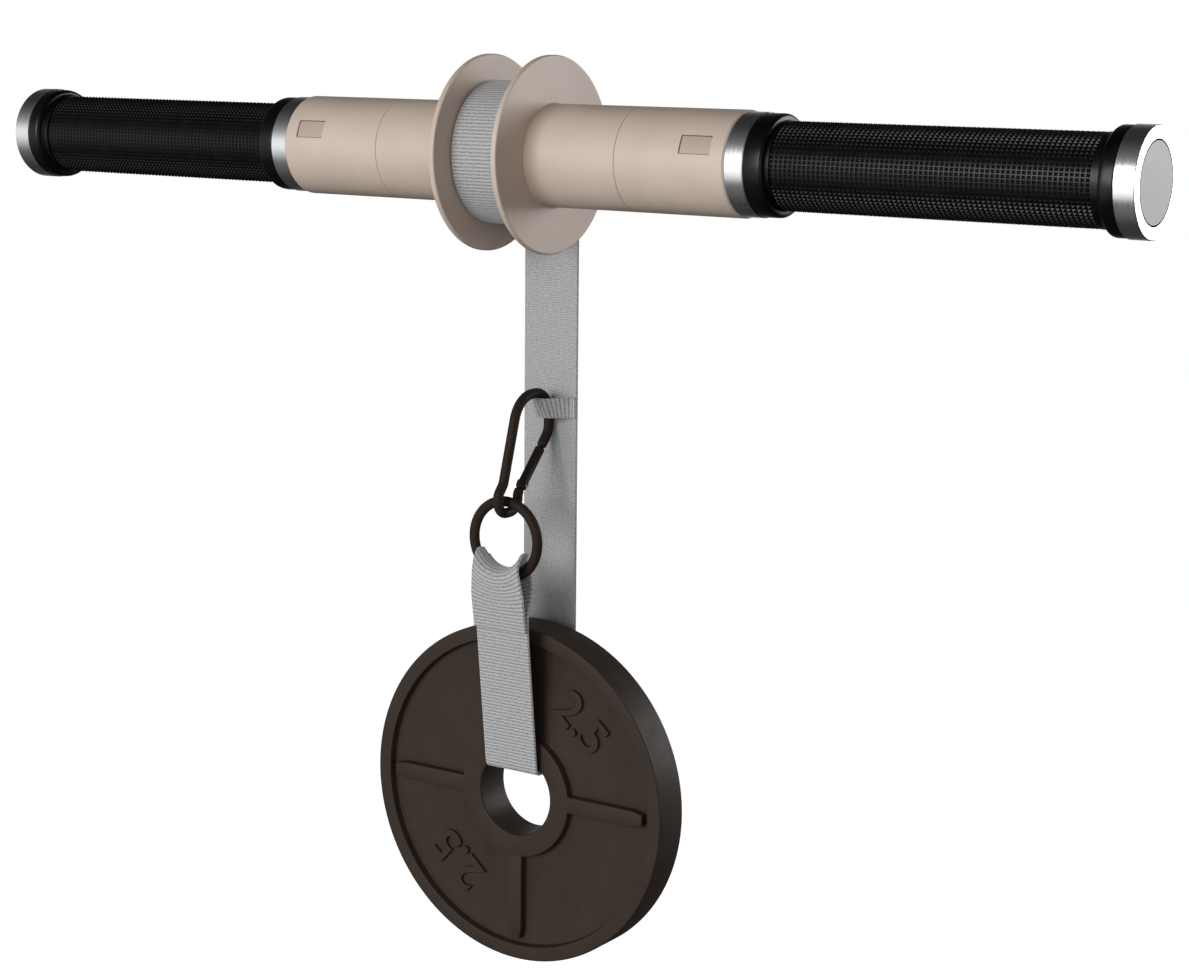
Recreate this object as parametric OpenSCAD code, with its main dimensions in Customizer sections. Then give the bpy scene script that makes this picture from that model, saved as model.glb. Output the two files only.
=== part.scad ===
// Wrist roller. A bar with two rubber grips turns in the hands and winds a webbing strap onto a
// spool at its middle. The strap's end runs behind a weight plate and through its hole, and a ring in
// that end hangs in a snap hook higher up on the strap.
// Millimetres. The origin is on the bar's axis at mid spool. +X runs along the bar, +Z is up and
// -Y is the side that the latch buttons face.

/* [Grips] */
// Diameter over the tips of the grip knurl
grip_d = 32; // [30:0.5:34]
// Length of the knurled part of a grip
grip_len = 119.4; // [90:1:150]
// Rubber thickness under the knurl tips
grip_rubber = 2; // [1.5:0.1:2.5]
// Wall of the plastic liner inside the rubber
liner_wall = 1; // [0.8:0.1:1.4]
// Smooth collar between the inner shoulder and the knurl
inner_collar = 1.4; // [1:0.1:4]
// Smooth collar between the knurl and the outer flare
outer_collar = 3.1; // [1:0.1:6]
// Width of the grip's inner shoulder
shoulder_w = 7.6; // [5:0.1:10]
// Width of the grip's flared outer end
flare_w = 5.7; // [4:0.1:9]
// Diameter of the grip's two end shoulders
shoulder_d = 36.9; // [35.5:0.1:37.4]
// Inner diameter of the handle core
core_bore = 18; // [14:0.5:20]

/* [Lock rings] */
// Outer diameter of the four lock rings
lock_ring_d = 37.5; // [37.5:0.1:38.5]
// Width of a lock ring along the bar
lock_ring_w = 7.5; // [6:0.1:10]
// Diameter of the grub screw in each lock ring
screw_d = 3; // [2:0.5:3.5]
// Diameter of the grey disc in the bar's end
end_disc_d = 27.4; // [27:0.1:29]
// Thickness of the grey disc
end_disc_t = 3; // [2:0.1:3.4]
// Length of the end plug's stem
plug_stem = 14; // [8:1:20]

/* [Spool] */
// Play between each edge of the strap and the flange beside it
strap_side_gap = 0.4; // [0.3:0.05:3]
// Diameter of the two flanges
flange_d = 74.5; // [66:0.5:86]
// Thickness of a flange
flange_t = 2.4; // [2:0.1:4]
// Length of a spool half's tube outside its flange
tube_len = 39.5; // [30:0.5:60]
// Diameter of the hub that the strap winds on
hub_d = 40; // [39.4:0.2:44]
// Diameter of the pin that holds the strap's inner end
anchor_d = 2.2; // [1.8:0.1:2.6]

/* [Sleeves] */
// Outer diameter of the sleeves and the spool's tubes
sleeve_d = 38.6; // [38:0.1:39.2]
// Wall of the sleeves and the spool's tubes
sleeve_wall = 2.4; // [2:0.1:3]
// Length of an outer sleeve
sleeve_len = 45.9; // [42:0.5:60]
// Gap of the seam between a sleeve and its spool half
seam_gap = 0.1; // [0.1:0.05:0.4]
// Length of the handle core's plug inside the sleeve
plug_len = 30.9; // [28:0.5:38]
// Wall of the alignment shaft inside the spool
shaft_wall = 2.8; // [2:0.1:5]

/* [Latches] */
// Length of a latch window along the bar
window_w = 12.9; // [9:0.1:14]
// Height of a latch window round the sleeve
window_h = 7.1; // [5:0.1:8]
// Distance from the sleeve's outer end to the middle of the window
window_in = 12.3; // [10:0.1:14]
// Angle of the latches above the front
latch_angle = 22; // [0:1:45]
// How far a latch button is pressed in
latch_travel = 2; // [1:0.1:2.2]
// How far a button's face lies under the sleeve's surface
button_sink = 0.4; // [0.2:0.1:0.8]

/* [Strap] */
// Width of the strap
strap_w = 25.2; // [22:0.1:30]
// Thickness of the webbing
strap_t = 1.4; // [1.2:0.1:1.5]
// Outer radius of the wound strap
wound_r = 28.1; // [26:0.1:31]
// Distance from the bar's axis back to the middle of the hanging strap
hang_y = 21.1; // [20:0.1:23]
// Angle under the horizontal at which the strap leaves the winding
leave_angle = 25; // [20:1:30]
// Depth of the middle of the sewn band below the bar's axis
band_z = 98.6; // [90:1:130]
// Height of the sewn band
band_h = 8; // [6:0.5:9]
// Length of straight strap below the sewn band, to where the strap leans in behind the plate
tail_len = 112; // [60:1:125]

/* [Snap hook] */
// Thickness of the snap hook's wire
hook_wire = 3.9; // [3.6:0.1:4.1]
// Thickness of the gate
gate_d = 3.4; // [2.8:0.1:3.6]
// Diameter of the gate's rivet
rivet_d = 1.3; // [1:0.1:1.5]
// How far the hook's plane lies to the right of the strap's middle
hook_x = 1; // [0.5:0.1:1.2]

/* [Ring and strap end] */
// Radius of the ring to the middle of its wire
ring_r = 15; // [14.5:0.1:18]
// Thickness of the ring's wire
ring_wire = 4; // [3.5:0.1:4.2]
// Width of the strap's end
loop_w = 24.5; // [22:0.1:25.5]
// Length of the sewn, doubled part under the ring
doubled_len = 17.5; // [15:0.5:25]

/* [Weight plate] */
// Diameter of the plate
plate_d = 136.8; // [125:0.5:150]
// Thickness of the plate
plate_t = 16.3; // [14:0.1:18]
// Diameter of the plate's hole
plate_bore = 33.6; // [31:0.1:36]
// Diameter of the raised hub round the hole
plate_hub_d = 51.2; // [48:0.2:56]
// Width of the raised rim
rim_w = 5.8; // [4:0.1:8]
// Depth of the sunk field between hub and rim
field_depth = 3.2; // [2:0.1:5]
// Width of a raised rib
rib_w = 6.6; // [5:0.1:9]
// Distance from the bar's plane back to the plate's front face
plate_y = -2.4; // [-2.6:0.1:-2]

/* [Hidden] */
$fn = 96;

// Clearances
fit = 0.05;         // radial, between fixed pieces that are pushed together
run_fit = 0.06;     // radial, between a pin or drum and what turns on it
slide_gap = 0.3;    // between a moving piece and its neighbour
eps = 0.01;

// Colours
tan_plastic = "#C8B6A5";
button_plastic = "#C3B0A5";
black_rubber = "#141414";
black_plastic = "#222222";
polished = "#D8D8DA";
steel = "#A8A8AA";
grey_disc = "#BEBEBE";
webbing = "#A2A2A2";
dark_metal = "#3B322D";

// Places along the bar, measured from mid spool
x_flange_in = strap_w / 2 + strap_side_gap;
x_flange_out = x_flange_in + flange_t;
x_seam = x_flange_out + tube_len;
x_sleeve = x_seam + seam_gap;
x_sleeve_end = x_sleeve + sleeve_len;
x_plug = x_sleeve_end - plug_len;
x_grip = x_sleeve_end + lock_ring_w;
x_shoulder = x_grip + shoulder_w;
x_knurl = x_shoulder + inner_collar;
x_knurl_end = x_knurl + grip_len;
x_flare = x_knurl_end + outer_collar;
x_grip_end = x_flare + flare_w;
x_end = x_grip_end + lock_ring_w;
x_latch = x_sleeve_end - window_in;

// Radii of the bar's pieces, from the outside inwards
sleeve_r = sleeve_d / 2;
sleeve_bore = sleeve_r - sleeve_wall;
grip_r = grip_d / 2;
liner_r = grip_r - grip_rubber;
core_r = liner_r - liner_wall - fit;
shoulder_r = shoulder_d / 2;
hub_r = hub_d / 2;
flange_r = flange_d / 2;
edge_round = 0.7;
flare_round = 2.4;
end_disc_gap = 0.65;

// The latch, measured outwards along its own radius
button_lip = 1;
button_lip_t = 2.4;
lip_top = sleeve_bore - 1.1;
lip_low = lip_top - button_lip_t;
spring_d = 5;
spring_seat = 1.2;
pocket_floor = lip_low - latch_travel - 3.4;

// The strap's winding and its hanging stretch, in the plane across the bar
wrap_mid = wound_r - strap_t / 2;
wrap_turn = 330;
wrap_step = 6;
wrap_fall = 0.5;
core_outer = wound_r - strap_t - wrap_fall - slide_gap;
drop_bend = 40;
drop_end = band_z - band_h / 2 - 6.5;
tail_end = band_z + band_h / 2 + tail_len;
strap_front = hang_y - strap_t / 2;
band_t = 1.2;

// The snap hook's wire: [back, up, bend radius] from the middle of the sewn band
hook_in_band = strap_front - slide_gap - hook_wire / 2;
hook_path = [
    [-4.4, -14.5, 0], [0, -9.6, 6], [0, 6.2, 9], [-20.1, 6.2, 12], [-29.9, -26.6, 3],
    [-33.3, -30.7, 3], [-33.3, -38.2, 5.2], [-20.5, -38.2, 5.2], [-20.5, -31.7, 2.8],
    [-19.5, -30.6, 0]
];
hinge_at = [-17.75, -28.75];
gate_end = [-4.9, -15.1];
gate_angle = atan2(gate_end[1] - hinge_at[1], gate_end[0] - hinge_at[0]);
gate_len = norm(gate_end - hinge_at);
tongue_t = 1.2;
knuckle_d = 4.6;
knuckle_len = 1.8;
tongue_w = 3;
slot_w = tongue_t + slide_gap;
slot_depth = tongue_w / 2 + 0.6;
spring_bore = 1.5;
spring_hole_len = 8;
wire_step = 0.2;
wire_lap = 0.25;

// The ring hangs in the hook's eye, and the strap's end is folded over the ring
eye_low = hook_path[6][1] + hook_wire / 2;
ring_y = hook_in_band + (hook_path[6][0] + hook_path[7][0]) / 2;
ring_z = -band_z + eye_low + slide_gap + ring_wire / 2 - ring_r;
wrap_r = ring_wire / 2 + slide_gap;
loop_front = ring_y - wrap_r - strap_t / 2;
loop_back = ring_y + wrap_r + strap_t / 2;
ply_gap = 0.1;
doubled_end = ring_z - ring_r - ring_wire / 2 - doubled_len;

// The plate hangs on the strap's end by its hole
plate_gap = 1;
plate_r = plate_d / 2;
bore_r = plate_bore / 2;
plate_z = doubled_end - plate_gap - plate_r;
plate_back = plate_y + plate_t;
bore_strap_z = plate_z + sqrt(pow(bore_r - slide_gap, 2) - pow(loop_w / 2, 2)) - strap_t / 2;
rim_chamfer = 0.8;
rib_end_w = 4.6;
rib_taper = 5;
rib_end_gap = 2.6;

// Points along an arc
function arc(c, r, a0, a1, n) = [for (i = [0:n]) c + r * [cos(a0 + (a1 - a0) * i / n), sin(a0 + (a1 - a0) * i / n)]];
function heading(v) = atan2(v[1], v[0]);
function turn(a, b) = let (d = b - a) d > 180 ? d - 360 : d <= -180 ? d + 360 : d;
function pt(p) = [p[0], p[1]];

// A bend at vertex i of a path of [x, y, radius]: [tangent length, turn, heading in]
function bend(path, i) =
    let (h0 = heading(pt(path[i]) - pt(path[i - 1])), h1 = heading(pt(path[i + 1]) - pt(path[i])),
         t = turn(h0, h1))
    [path[i][2] * tan(abs(t) / 2), t, h0];
function bend_centre(path, i) =
    let (b = bend(path, i), s = sign(b[1]))
    pt(path[i]) - b[0] * [cos(b[2]), sin(b[2])] + s * path[i][2] * [-sin(b[2]), cos(b[2])];
function has_bend(path, i) = i > 0 && i < len(path) - 1 && path[i][2] > 0;

// The same path as a plain list of points, its bends drawn as short chords
function path_points(path, step = 10) = [
    for (i = [0:len(path) - 1])
        each has_bend(path, i)
            ? let (b = bend(path, i), s = sign(b[1]), a = b[2] - 90 * s)
              arc(bend_centre(path, i), path[i][2], a, a + b[1], max(2, ceil(abs(b[1]) / step)))
            : [pt(path[i])]
];

// Unit normal at point i of a list of points
function side(p, i) =
    let (a = p[max(0, i - 1)], b = p[min(len(p) - 1, i + 1)], d = (b - a) / norm(b - a))
    [-d[1], d[0]];

// Webbing of thickness t along points p, as an outline
module ribbon(p, t) {
    left = [for (i = [0:len(p) - 1]) p[i] + side(p, i) * t / 2];
    right = [for (i = [len(p) - 1:-1:0]) p[i] - side(p, i) * t / 2];
    polygon(concat(left, right));
}

// Drawings in the plane across the bar, seen from its right end: [back, up]
module across(x) translate([x, 0, 0]) rotate([90, 0, 90]) children();

// Webbing of width w, its middle at mid spool
module webbing_run(p, t, w) across(-w / 2) linear_extrude(w) ribbon(p, t);

// Round wire along a path with bends. The straight runs are a little thinner than the bends and lap
// into them.
module wire(path, d) {
    for (i = [0:len(path) - 2]) {
        h = heading(pt(path[i + 1]) - pt(path[i]));
        from = has_bend(path, i) ? bend(path, i)[0] - wire_lap : 0;
        upto = norm(pt(path[i + 1]) - pt(path[i]))
            - (has_bend(path, i + 1) ? bend(path, i + 1)[0] - wire_lap : 0);
        translate(pt(path[i])) rotate(h) translate([from, 0, 0]) rotate([0, 90, 0])
            cylinder(d = d - wire_step, h = upto - from, $fn = 32);
    }
    for (i = [1:len(path) - 2])
        if (has_bend(path, i)) {
            b = bend(path, i);
            from = b[1] > 0 ? b[2] - 90 : b[2] + 90 + b[1];
            translate(bend_centre(path, i)) rotate(from)
                rotate_extrude(angle = abs(b[1]), $fn = 48) translate([path[i][2], 0]) circle(d = d, $fn = 32);
        }
}

// A solid of revolution about the bar, from its outline [place along the bar, radius]
module turned(outline) rotate([0, 90, 0]) rotate_extrude() polygon([for (p = outline) [p[1], p[0]]]);

// Put a right-hand piece on one end of the bar
module on_side(side) if (side > 0) children(); else mirror([1, 0, 0]) children();

// A latch's own frame: X along the bar, Z outwards along the latch's radius
module at_latch() translate([x_latch, 0, 0]) rotate([90 - latch_angle, 0, 0]) children();
module block(w, h, z0, z1) translate([-w / 2, -h / 2, z0]) cube([w, h, z1 - z0]);
module bar_cylinder(x0, x1, r) translate([x0, 0, 0]) rotate([0, 90, 0]) cylinder(r = r, h = x1 - x0);
module bar_tube(x0, x1, r, bore) difference() {
    bar_cylinder(x0, x1, r);
    bar_cylinder(x0 - 1, x1 + 1, bore);
}

// A plain tube inside both spool halves, which keeps them and the sleeves in line
module spool_shaft() color(steel)
    bar_tube(-x_plug + slide_gap, x_plug - slide_gap, sleeve_bore - fit, sleeve_bore - fit - shaft_wall);

// Half of the hub, one flange and its tube, moulded as one piece
module spool_half() difference() {
    turned(concat(
        [[0, sleeve_bore], [0, hub_r], [x_flange_in, hub_r]],
        arc([x_flange_in + edge_round, flange_r - edge_round], edge_round, 180, 90, 5),
        arc([x_flange_out - edge_round, flange_r - edge_round], edge_round, 90, 0, 5),
        arc([x_flange_out + edge_round, sleeve_r + edge_round], edge_round, 180, 270, 5),
        [[x_seam - 0.2, sleeve_r], [x_seam, sleeve_r - 0.2], [x_seam, sleeve_bore]]
    ));
    anchor_hole();
}
module anchor_hole() translate([-1, 0, (sleeve_bore + hub_r) / 2]) rotate([0, 90, 0])
    cylinder(d = anchor_d, h = x_flange_in - 1, $fn = 32);
module left_spool_half() color(tan_plastic) on_side(-1) spool_half();
module right_spool_half() color(tan_plastic) on_side(1) spool_half();

// A steel pin in the hub's wall, across both halves, that traps the strap's inner end
module strap_anchor_pin() color(steel)
    translate([-x_flange_in + 2 + slide_gap, 0, (sleeve_bore + hub_r) / 2]) rotate([0, 90, 0])
        cylinder(d = anchor_d, h = 2 * (x_flange_in - 2 - slide_gap), $fn = 32);

// The outer sleeve, with the window that its latch button shows through
module sleeve() difference() {
    turned([
        [x_sleeve, sleeve_bore], [x_sleeve, sleeve_r - 0.2], [x_sleeve + 0.2, sleeve_r],
        [x_sleeve_end - 0.5, sleeve_r], [x_sleeve_end, sleeve_r - 0.5], [x_sleeve_end, sleeve_bore]
    ]);
    at_latch() block(window_w, window_h, sleeve_bore - 3, sleeve_r + 2);
}
module left_sleeve() color(tan_plastic) on_side(-1) sleeve();
module right_sleeve() color(tan_plastic) on_side(1) sleeve();

// A spring-loaded button, held under the sleeve by its lip
module latch_button() difference() {
    union() {
        intersection() {
            at_latch() block(window_w - 2 * slide_gap, window_h - 2 * slide_gap, lip_low, sleeve_r);
            bar_cylinder(x_latch - window_w, x_latch + window_w, sleeve_r - button_sink);
        }
        at_latch() block(window_w + 2 * button_lip, window_h + 2 * button_lip, lip_low, lip_top);
    }
    at_latch() translate([0, 0, lip_low - 1]) cylinder(d = spring_d + 2 * slide_gap, h = 1 + spring_seat, $fn = 48);
}
module left_latch_button() color(button_plastic) on_side(-1) latch_button();
module right_latch_button() color(button_plastic) on_side(1) latch_button();

// The button's coil spring, drawn as the tube that it fills
module latch_spring() at_latch() difference() {
    translate([0, 0, pocket_floor]) cylinder(d = spring_d, h = lip_low + spring_seat - pocket_floor, $fn = 48);
    translate([0, 0, pocket_floor - 1]) cylinder(d = spring_d - 1.6, h = 20, $fn = 48);
}
module left_latch_spring() color(steel) on_side(-1) latch_spring();
module right_latch_spring() color(steel) on_side(1) latch_spring();

// The tube inside a grip, with a plug that fits the sleeve and holds the latch
module handle_core() difference() {
    union() {
        bar_cylinder(x_plug, x_sleeve_end, sleeve_bore - fit);
        bar_cylinder(x_sleeve_end - 1, x_end - end_disc_t, core_r);
    }
    bar_cylinder(x_sleeve_end + 2, x_end, core_bore / 2);
    at_latch() block(
        window_w + 2 * button_lip + 2 * slide_gap, window_h + 2 * button_lip + 2 * slide_gap,
        pocket_floor, sleeve_r);
}
module left_handle_core() color(black_plastic) on_side(-1) handle_core();
module right_handle_core() color(black_plastic) on_side(1) handle_core();

// The hard liner that the grip's rubber is moulded on and the lock rings clamp
module grip_liner() bar_tube(x_sleeve_end + slide_gap, x_end - end_disc_t - slide_gap, liner_r - fit, core_r + fit);
module left_grip_liner() color(black_plastic) on_side(-1) grip_liner();
module right_grip_liner() color(black_plastic) on_side(1) grip_liner();

// The rubber: a shoulder, the knurled length to its tips, and a flared end
module grip() turned(concat(
    [[x_grip, liner_r], [x_grip, shoulder_r]],
    arc([x_shoulder - edge_round, shoulder_r - edge_round], edge_round, 90, 0, 4),
    [[x_shoulder, grip_r], [x_flare, grip_r]],
    arc([x_flare + flare_round, shoulder_r - flare_round], flare_round, 180, 90, 6),
    [[x_grip_end, shoulder_r], [x_grip_end, liner_r]]
));
module left_grip() color(black_rubber) on_side(-1) grip();
module right_grip() color(black_rubber) on_side(1) grip();

// A lock ring between x0 and x0 + lock_ring_w, with its grub screw's hole
module lock_ring(x0) difference() {
    turned([
        [x0, liner_r], [x0, lock_ring_d / 2 - 0.3], [x0 + 0.3, lock_ring_d / 2],
        [x0 + lock_ring_w - 0.3, lock_ring_d / 2], [x0 + lock_ring_w, lock_ring_d / 2 - 0.3],
        [x0 + lock_ring_w, liner_r]
    ]);
    at_screw(x0) cylinder(d = screw_d, h = lock_ring_d, $fn = 32);
}
// The screws point back and down, halfway along what clamps the liner
screw_in = (lock_ring_w - end_disc_t) / 2;
module at_screw(x0) translate([x0 + screw_in, 0, 0]) rotate([-120, 0, 0]) children();
module inner_ring() lock_ring(x_sleeve_end);
module left_inner_ring() color(polished) on_side(-1) inner_ring();
module right_inner_ring() color(polished) on_side(1) inner_ring();

// The outer lock rings are counterbored for the grey discs
module end_ring() difference() {
    lock_ring(x_grip_end);
    bar_cylinder(x_end - end_disc_t, x_end + 1, end_disc_d / 2 + end_disc_gap);
}
module left_end_ring() color(polished) on_side(-1) end_ring();
module right_end_ring() color(polished) on_side(1) end_ring();

// Four grub screws, one in each lock ring
module lock_screw(x0) at_screw(x0) translate([0, 0, liner_r]) difference() {
    cylinder(d = screw_d - 2 * fit, h = lock_ring_d / 2 - liner_r - 0.5, $fn = 32);
    translate([0, 0, lock_ring_d / 2 - liner_r - 2]) cylinder(d = screw_d / 2, h = 3, $fn = 6);
}
module lock_screws() color(steel) for (side = [-1, 1]) on_side(side) {
    lock_screw(x_sleeve_end);
    lock_screw(x_grip_end);
}

// The grey disc and its stem, pushed into the handle core
module end_plug() {
    bar_cylinder(x_end - end_disc_t, x_end, end_disc_d / 2);
    bar_cylinder(x_end - end_disc_t - plug_stem, x_end - end_disc_t, core_bore / 2 - fit);
}
module left_end_plug() color(grey_disc) on_side(-1) end_plug();
module right_end_plug() color(grey_disc) on_side(1) end_plug();

// The inner turns of the strap, as one plain core that the hub turns in
module strap_core() color(webbing)
    bar_tube(-strap_w / 2, strap_w / 2, core_outer, hub_r + run_fit);

// The outer turn of the strap. It winds in from where the strap leaves the roll, over the front and
// under, to its inner end.
function wrap_points() = [
    for (a = [0:wrap_step:wrap_turn])
        (wrap_mid - wrap_fall * a / wrap_turn) * [cos(a - leave_angle), sin(a - leave_angle)]
];
module strap_winding() color(webbing) webbing_run(wrap_points(), strap_t, strap_w);
echo(least_gap_between_the_wrap_ends = norm(wrap_points()[0] - wrap_points()[len(wrap_points()) - 1]) - strap_t);

// The stretch from the roll down to just above the sewn band. It follows the roll to the leaving
// angle and bends back to the vertical.
function drop_points() =
    let (n = leave_angle, out = (wrap_mid + drop_bend) * cos(n) - drop_bend - hang_y,
         slack = out / sin(n), start = wrap_mid * [cos(n), -sin(n)], go = [-sin(n), -cos(n)])
    concat(
        slack > eps ? [start] : [],
        arc(start + slack * go + drop_bend * [cos(n), -sin(n)], drop_bend, 180 - n, 180, 5),
        [[hang_y, -drop_end]]
    );
module strap_drop() color(webbing) webbing_run(drop_points(), strap_t, strap_w);

// The straight strap from above the sewn band down behind the plate
module strap_tail() color(webbing) webbing_run([[hang_y, -drop_end], [hang_y, -tail_end]], strap_t, strap_w);

// A narrow band sewn across the strap's front, open at top and bottom for the snap hook's wire. Its
// front leans forwards at the top, where the wire bends away.
tunnel_w = hook_wire + 1;
tunnel_low = hook_in_band - hook_wire / 2 - 1.2;
tunnel_high = hook_in_band - hook_wire / 2 - 5.5;
band_left = 4.5;
module strap_band() color(webbing) difference() {
    band_block(band_t, band_left, strap_w / 2, band_h);
    band_block(0, band_left - 1.6, strap_w / 2 - 1.6, band_h + 2);
}
// What the band spans, out to the left and right and h high, with its front this much ahead of the tunnel's
module band_block(wall, left, right, h) intersection() {
    translate([0, 0, -band_z - h / 2]) linear_extrude(h) polygon([
        [-left, strap_front], each wall > 0 ? [[-left, strap_front - wall]] : [],
        [hook_x - tunnel_w / 2 - wall / 2, tunnel_low - wall], [hook_x - tunnel_w / 2 - wall / 2, tunnel_high - wall],
        [hook_x + tunnel_w / 2 + wall / 2, tunnel_high - wall], [hook_x + tunnel_w / 2 + wall / 2, tunnel_low - wall],
        each wall > 0 ? [[right, strap_front - wall]] : [], [right, strap_front]
    ]);
    across(-strap_w) linear_extrude(2 * strap_w) polygon([
        [strap_front, -band_z - band_h], [lean_at(-band_h) - wall, -band_z - band_h],
        [lean_at(band_h) - wall, -band_z + band_h], [strap_front, -band_z + band_h]
    ]);
}
// The tunnel's front wall at this height above the band's middle
function lean_at(up) = tunnel_low + (tunnel_high - tunnel_low) * (up / band_h + 0.5);

// The snap hook's frame: [back, up] from the middle of the wire in the sewn band
module on_hook() translate([hook_x, hook_in_band, -band_z]) rotate([90, 0, 90]) children();
module at_hinge() on_hook() translate(hinge_at) rotate(gate_angle) children();

// The bent wire, from its nose round to the flat tongue that carries the gate
module hook_body() color(dark_metal) {
    on_hook() wire(hook_path, hook_wire);
    at_hinge() hinge_tongue();
}
module hinge_tongue() translate([0, 0, -tongue_t / 2]) difference() {
    union() {
        cylinder(d = tongue_w, h = tongue_t, $fn = 32);
        translate([-tongue_w, -tongue_w / 2, 0]) cube([tongue_w, tongue_w, tongue_t]);
    }
    translate([0, 0, -1]) cylinder(d = rivet_d + 2 * run_fit, h = tongue_t + 2, $fn = 32);
}

// The gate: a rod with a forked knuckle, which swings inwards about its rivet
module hook_gate() color(dark_metal) at_hinge() difference() {
    union() {
        rotate([0, 90, 0]) cylinder(d = gate_d, h = gate_len, $fn = 48);
        translate([-knuckle_len / 2, 0, 0]) rotate([0, 90, 0]) cylinder(d = knuckle_d, h = knuckle_len, $fn = 48);
    }
    translate([-knuckle_d, -knuckle_d, -slot_w / 2]) cube([knuckle_d + slot_depth, 2 * knuckle_d, slot_w]);
    translate([0, 0, -knuckle_d]) cylinder(d = rivet_d, h = 2 * knuckle_d, $fn = 32);
    translate([slot_depth - 1, 0, 0]) rotate([0, 90, 0]) cylinder(d = spring_bore, h = spring_hole_len + 1, $fn = 24);
}

// The rivet through the gate's knuckle and the hook's tongue
module gate_rivet() color(steel) at_hinge() translate([0, 0, -knuckle_d / 2])
    cylinder(d = rivet_d, h = knuckle_d, $fn = 32);

// The push spring inside the gate, drawn as a plain rod
module gate_spring() color(steel) at_hinge() translate([slot_depth + 0.1, 0, 0]) rotate([0, 90, 0])
    cylinder(d = spring_bore - 2 * fit, h = spring_hole_len - 0.2, $fn = 24);

// A round ring of wire, flat in the plane of the strap
module on_ring() translate([0, ring_y, ring_z]) rotate([90, 0, 0]) children();
module load_ring() color(dark_metal) on_ring()
    rotate_extrude() translate([ring_r, 0]) circle(d = ring_wire, $fn = 48);

// The strap's end. From just below the straight strap it leans in behind the plate, comes forwards
// through the plate's hole and runs up to the ring, over it and down again, sewn to itself.
saddle_half = asin(loop_w / 2 / (ring_r + strap_t));
leg_end = ring_z - ring_r - ring_wire / 2 - 1;
sling_gap = 3;
module loop_strap() color(webbing) {
    intersection() {
        on_ring() rotate(-90 - saddle_half) rotate_extrude(angle = 2 * saddle_half) saddle_profile();
        translate([-loop_w / 2, ring_y - loop_w, leg_end]) cube([loop_w, 2 * loop_w, ring_r * 2]);
    }
    webbing_run(sling_points(), strap_t, loop_w);
    webbing_run([[loop_front, leg_end], [loop_front, doubled_end]], strap_t, loop_w);
}
// Half round the wire on its inner side, with both legs running outwards: [from ring centre, front to back]
module saddle_profile() {
    reach = ring_r + ring_wire / 2 + loop_w;
    polygon(concat(
        [[reach, wrap_r + strap_t]], arc([ring_r, 0], wrap_r + strap_t, 90, 270, 12), [[reach, -wrap_r - strap_t]],
        [[reach, -wrap_r]], arc([ring_r, 0], wrap_r, 270, 90, 12), [[reach, wrap_r]]
    ));
}
function sling_points() =
    let (ply = loop_front + strap_t + ply_gap, behind = plate_back + slide_gap + strap_t / 2)
    path_points([
        [hang_y, -tail_end - sling_gap, 0], [behind, bore_strap_z, 1.2],
        [plate_y - 1.8, bore_strap_z, 2.4], [ply, doubled_end, 12],
        [ply, leg_end - 8, 0], [loop_back, leg_end - 0.5, 0], [loop_back, leg_end, 0]
    ]);

// The plate: rim and hub raised round a sunk field with four ribs, about its own hole's axis
module on_plate() translate([0, plate_y, plate_z]) rotate([90, 0, 0]) mirror([0, 0, 1]) children();
module weight_plate() color(dark_metal) on_plate() {
    rotate_extrude() polygon([
        [bore_r, 0], [plate_hub_d / 2 - 0.6, 0], [plate_hub_d / 2, 0.6],
        [plate_hub_d / 2, field_depth], [plate_r - rim_w - 0.6, field_depth],
        [plate_r - rim_w, field_depth - 0.6], [plate_r - rim_w, 0.4], [plate_r - rim_w + 0.4, 0],
        [plate_r - rim_chamfer, 0], [plate_r, rim_chamfer], [plate_r, plate_t - rim_chamfer],
        [plate_r - rim_chamfer, plate_t], [bore_r, plate_t]
    ]);
    for (a = [0, 90, 180, 270]) rotate(a) linear_extrude(field_depth) rib_outline();
}
module rib_outline() {
    r0 = plate_hub_d / 2 - 1;
    r1 = plate_r - rim_w - rib_end_gap;
    polygon([
        [r0, -rib_w / 2], [r1 - rib_taper, -rib_w / 2], [r1, -rib_end_w / 2],
        [r1, rib_end_w / 2], [r1 - rib_taper, rib_w / 2], [r0, rib_w / 2]
    ]);
}

spool_shaft();
left_spool_half();
right_spool_half();
strap_anchor_pin();
left_sleeve();
right_sleeve();
left_latch_button();
right_latch_button();
left_latch_spring();
right_latch_spring();
left_handle_core();
right_handle_core();
left_grip_liner();
right_grip_liner();
left_grip();
right_grip();
left_inner_ring();
right_inner_ring();
left_end_ring();
right_end_ring();
lock_screws();
left_end_plug();
right_end_plug();
strap_core();
strap_winding();
strap_drop();
strap_tail();
strap_band();
hook_body();
hook_gate();
gate_rivet();
gate_spring();
load_ring();
loop_strap();
weight_plate();
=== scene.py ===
"""Looks of the wrist roller: a tan bar with two knurled grips and a webbing strap wound on its spool.
The strap runs down behind a weight plate and forwards through its hole, and a ring in its end hangs in
a snap hook. Sizes here are in millimetres and are turned to metres where a mesh is made. X runs along
the bar, Y is away from the camera, Z is up."""
import math

import bmesh
import bpy
from mathutils import Matrix, Vector


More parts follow.
